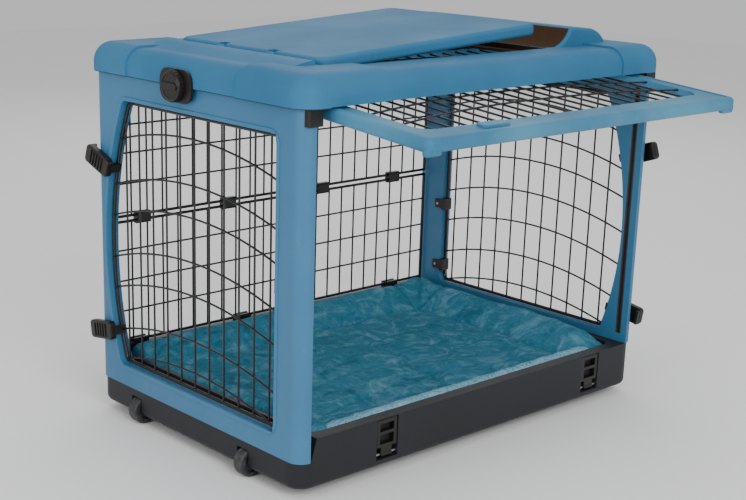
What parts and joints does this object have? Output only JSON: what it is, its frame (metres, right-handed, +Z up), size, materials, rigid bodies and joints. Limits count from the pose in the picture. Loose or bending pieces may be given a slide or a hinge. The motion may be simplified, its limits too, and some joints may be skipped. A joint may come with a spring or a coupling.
{
  "type": "wire dog crate",
  "caption": "Wheeled dog crate with moulded frames, wire side panels, swinging end doors, tip-up front door, top hatch and plush bed.",
  "frame": {"origin": "centre of the foot in the middle of the tray, on the floor", "axes": "+X along the crate away from the wheels, -Y out of the front door, +Z up"},
  "size_m": [0.976, 0.8487, 0.7694],
  "materials": {
    "blue_shell": "fine grained moulding",
    "blue_door": "fine grained moulding",
    "tray_plastic": "fine grained moulding",
    "black_plastic": "satin",
    "track_plastic": "satin",
    "coated_wire": "gloss coating",
    "steel_pin": "plain",
    "wheel_rubber": "matt",
    "plush": "short pile plush"
  },
  "bodies": {
    "base": {"tray": "tray_plastic", "fold_pins": "steel_pin", "wheel_axles": "steel_pin", "clip_pins": "steel_pin", "bed_pad": "plush", "left_end_frame": "blue_shell", "right_end_frame": "blue_shell", "left_door_track": "track_plastic", "right_door_track": "track_plastic", "left_guide_block": "black_plastic", "right_guide_block": "black_plastic", "left_door_hinges": "black_plastic", "right_door_hinges": "black_plastic", "lower_back_panel": "coated_wire", "upper_back_panel": "coated_wire", "back_fold_clips": "black_plastic", "back_rail": "black_plastic", "roof_hinge_clips": "black_plastic", "roof_hinge_pins": "steel_pin"},
    "front_wheel": {"front_wheel": "wheel_rubber"},
    "back_wheel": {"back_wheel": "wheel_rubber"},
    "left_storage_clip": {"left_storage_clip": "black_plastic"},
    "right_storage_clip": {"right_storage_clip": "black_plastic"},
    "left_door": {"left_wire_door": "coated_wire", "left_latch_guides": "black_plastic"},
    "right_door": {"right_wire_door": "coated_wire", "right_latch_guides": "black_plastic"},
    "left_upper_latch": {"left_upper_latch": "black_plastic"},
    "left_lower_latch": {"left_lower_latch": "black_plastic"},
    "right_upper_latch": {"right_upper_latch": "black_plastic"},
    "right_lower_latch": {"right_lower_latch": "black_plastic"},
    "roof": {"roof_shell": "blue_shell", "hatch_pin": "steel_pin", "left_knob_base": "black_plastic", "right_knob_base": "black_plastic", "roof_hinge_leaves": "black_plastic", "left_roof_track": "track_plastic", "right_roof_track": "track_plastic"},
    "hatch": {"roof_hatch": "blue_shell"},
    "left_knob": {"left_roof_knob": "black_plastic"},
    "right_knob": {"right_roof_knob": "black_plastic"},
    "front_door_carrier": {"front_door_middle_rod": "steel_pin"},
    "front_door": {"front_door_frame": "blue_door", "front_door_grid": "coated_wire", "front_door_guide_pins": "steel_pin", "front_door_rollers": "steel_pin"},
    "front_door_catch": {"front_door_catch": "blue_door"}
  },
  "joints": [
    {"name": "left_door_swing", "type": "hinge", "parent": "base", "child": "left_door", "pos_m": [-0.446, -0.232, 0], "axis": [0, 0, 1], "range_deg": [0, 95]},
    {"name": "right_door_swing", "type": "hinge", "parent": "base", "child": "right_door", "pos_m": [0.446, 0.232, 0], "axis": [0, 0, 1], "range_deg": [0, 95]},
    {"name": "left_upper_latch_slide", "type": "slide", "parent": "left_door", "child": "left_upper_latch", "axis": [0, 0.9432, 0.3321], "range_m": [0, 0.014]},
    {"name": "left_lower_latch_slide", "type": "slide", "parent": "left_door", "child": "left_lower_latch", "axis": [0, 0.9882, -0.1531], "range_m": [0, 0.014]},
    {"name": "right_upper_latch_slide", "type": "slide", "parent": "right_door", "child": "right_upper_latch", "axis": [0, -0.9432, 0.3321], "range_m": [0, 0.014]},
    {"name": "right_lower_latch_slide", "type": "slide", "parent": "right_door", "child": "right_lower_latch", "axis": [0, -0.9882, -0.1531], "range_m": [0, 0.014]},
    {"name": "roof_lift", "type": "hinge", "parent": "base", "child": "roof", "pos_m": [0, 0.3185, 0.672], "axis": [-1, 0, 0], "range_deg": [0, 60]},
    {"name": "hatch_lift", "type": "hinge", "parent": "roof", "child": "hatch", "pos_m": [-0.335, 0, 0.725], "axis": [0, -1, 0], "range_deg": [-3.6, 98]},
    {"name": "left_knob_turn", "type": "hinge", "parent": "roof", "child": "left_knob", "pos_m": [-0.46, 0.025, 0.674], "axis": [1, 0, 0], "range_deg": [0, 90]},
    {"name": "right_knob_turn", "type": "hinge", "parent": "roof", "child": "right_knob", "pos_m": [0.46, 0.025, 0.674], "axis": [1, 0, 0], "range_deg": [0, 90]},
    {"name": "front_door_carrier_turn", "type": "hinge", "parent": "roof", "child": "front_door_carrier", "pos_m": [0, -0.284, 0.69], "axis": [-1, 0, 0], "range_deg": [0, 85]},
    {"name": "front_door_tip", "type": "hinge", "parent": "front_door_carrier", "child": "front_door", "pos_m": [0, -0.11888, 0.67555], "axis": [-1, 0, 0], "range_deg": [-170, 0]},
    {"name": "front_door_catch_slide", "type": "slide", "parent": "front_door", "child": "front_door_catch", "axis": [0, 0.9962, 0.0872], "range_m": [0, 0.008]},
    {"name": "left_storage_clip_swing", "type": "hinge", "parent": "base", "child": "left_storage_clip", "pos_m": [-0.252, -0.2985, 0.04], "axis": [1, 0, 0], "range_deg": [0, 100]},
    {"name": "right_storage_clip_swing", "type": "hinge", "parent": "base", "child": "right_storage_clip", "pos_m": [0.32, -0.2985, 0.04], "axis": [1, 0, 0], "range_deg": [0, 100]},
    {"name": "front_wheel_spin", "type": "hinge", "parent": "base", "child": "front_wheel", "pos_m": [-0.446, -0.153, 0.027], "axis": [0, 1, 0], "continuous": true},
    {"name": "back_wheel_spin", "type": "hinge", "parent": "base", "child": "back_wheel", "pos_m": [-0.446, 0.178, 0.027], "axis": [0, 1, 0], "continuous": true}
  ],
  "couplings": [
    {"joint": "front_door_tip", "follows": "front_door_carrier_turn", "ratio": -2}
  ]
}
